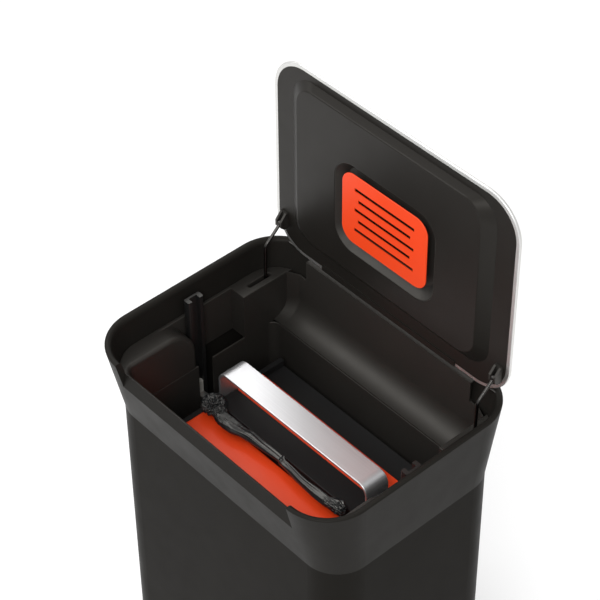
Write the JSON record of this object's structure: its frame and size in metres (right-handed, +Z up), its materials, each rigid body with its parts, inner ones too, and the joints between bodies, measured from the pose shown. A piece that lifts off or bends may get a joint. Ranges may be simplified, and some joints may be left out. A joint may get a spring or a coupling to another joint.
{
  "type": "trash compactor",
  "caption": "Kitchen waste bin with pedal lid, odour filter in the lid, and a hand-pressed compaction head sliding in an inner bucket.",
  "frame": {"origin": "on the floor under the centre of the collar", "axes": "+Z up, front with the pedal faces -Y, +X to the right seen from the front"},
  "size_m": [0.4296, 0.3199, 1.0015],
  "materials": {
    "graphite_paint": "satin powder coat",
    "collar_plastic": "satin moulded plastic",
    "frame_plastic": "satin moulded plastic",
    "bucket_plastic": "satin moulded plastic",
    "head_plastic": "satin moulded plastic",
    "lid_plastic": "fine matt moulded plastic",
    "shoe_plastic": "natural acetal",
    "orange_plastic": "satin moulded plastic",
    "rail_metal": "satin black",
    "brushed_steel": "brushed with rolled hem",
    "handle_steel": "fine brushed along its length",
    "pedal_steel": "brushed",
    "wire_steel": "dark drawn wire",
    "zinc_steel": "zinc plated",
    "rubber": "matt",
    "filter_foam": "open carbon felt",
    "liner_film": "thin glossy film"
  },
  "bodies": {
    "root": {"body_shell": "graphite_paint", "top_collar": "collar_plastic", "inner_frame": "frame_plastic", "rear_panel": "frame_plastic", "bucket": "bucket_plastic", "rail_brackets": "zinc_steel", "guide_rail_left": "rail_metal", "guide_rail_right": "rail_metal", "base_plinth": "collar_plastic", "rubber_feet": "rubber", "plinth_screws": "zinc_steel", "pedal_brackets": "zinc_steel", "pedal_axle": "zinc_steel", "hinge_pins": "wire_steel"},
    "lid": {"lid_skin": "brushed_steel", "lid_panel": "lid_plastic", "filter_tray": "frame_plastic", "carbon_filter": "filter_foam", "filter_cover": "orange_plastic", "lid_lugs": "frame_plastic", "lug_pins": "wire_steel"},
    "link_left": {"link_wire_left": "wire_steel"},
    "link_right": {"link_wire_right": "wire_steel"},
    "pedal": {"pedal_lever": "zinc_steel", "pedal_bushes": "shoe_plastic", "pedal_pad": "pedal_steel"},
    "carriage": {"carriage_frame": "head_plastic", "centre_cover": "head_plastic", "rear_press_plate": "orange_plastic", "handle_strap": "handle_steel", "handle_screws": "zinc_steel", "carriage_arms": "zinc_steel", "guide_shoe_left": "shoe_plastic", "guide_shoe_right": "shoe_plastic", "jaw_pin": "zinc_steel", "jaw_springs": "wire_steel", "liner_neck": "liner_film"},
    "jaw": {"front_jaw": "orange_plastic"}
  },
  "joints": [
    {"name": "lid_hinge", "type": "hinge", "parent": "root", "child": "lid", "pos_m": [0, 0.1445, 0.7077], "axis": [1, 0, 0], "range_deg": [0, 90]},
    {"name": "link_left_pivot", "type": "hinge", "parent": "lid", "child": "link_left", "pos_m": [-0.186, 0.134, 0.743], "axis": [1, 0, 0], "range_deg": [-90, 0]},
    {"name": "link_right_pivot", "type": "hinge", "parent": "lid", "child": "link_right", "pos_m": [0.186, 0.134, 0.743], "axis": [1, 0, 0], "range_deg": [-90, 0]},
    {"name": "pedal_pivot", "type": "hinge", "parent": "root", "child": "pedal", "pos_m": [0, -0.07, 0.0397], "axis": [1, 0, 0], "range_deg": [-16.5, 0]},
    {"name": "head_slide", "type": "slide", "parent": "root", "child": "carriage", "axis": [0, 0, 1], "range_m": [-0.15, 0.05]},
    {"name": "jaw_hinge", "type": "hinge", "parent": "carriage", "child": "jaw", "pos_m": [0, -0.101, 0.552], "axis": [1, 0, 0], "range_deg": [-70, 0], "stiffness_Nm_per_rad": 0.1, "springref_deg": 45.84}
  ],
  "couplings": [
    {"joint": "link_left_pivot", "follows": "lid_hinge", "ratio": -0.97689},
    {"joint": "link_right_pivot", "follows": "lid_hinge", "ratio": -0.97689},
    {"joint": "pedal_pivot", "follows": "lid_hinge", "ratio": -0.18022}
  ]
}
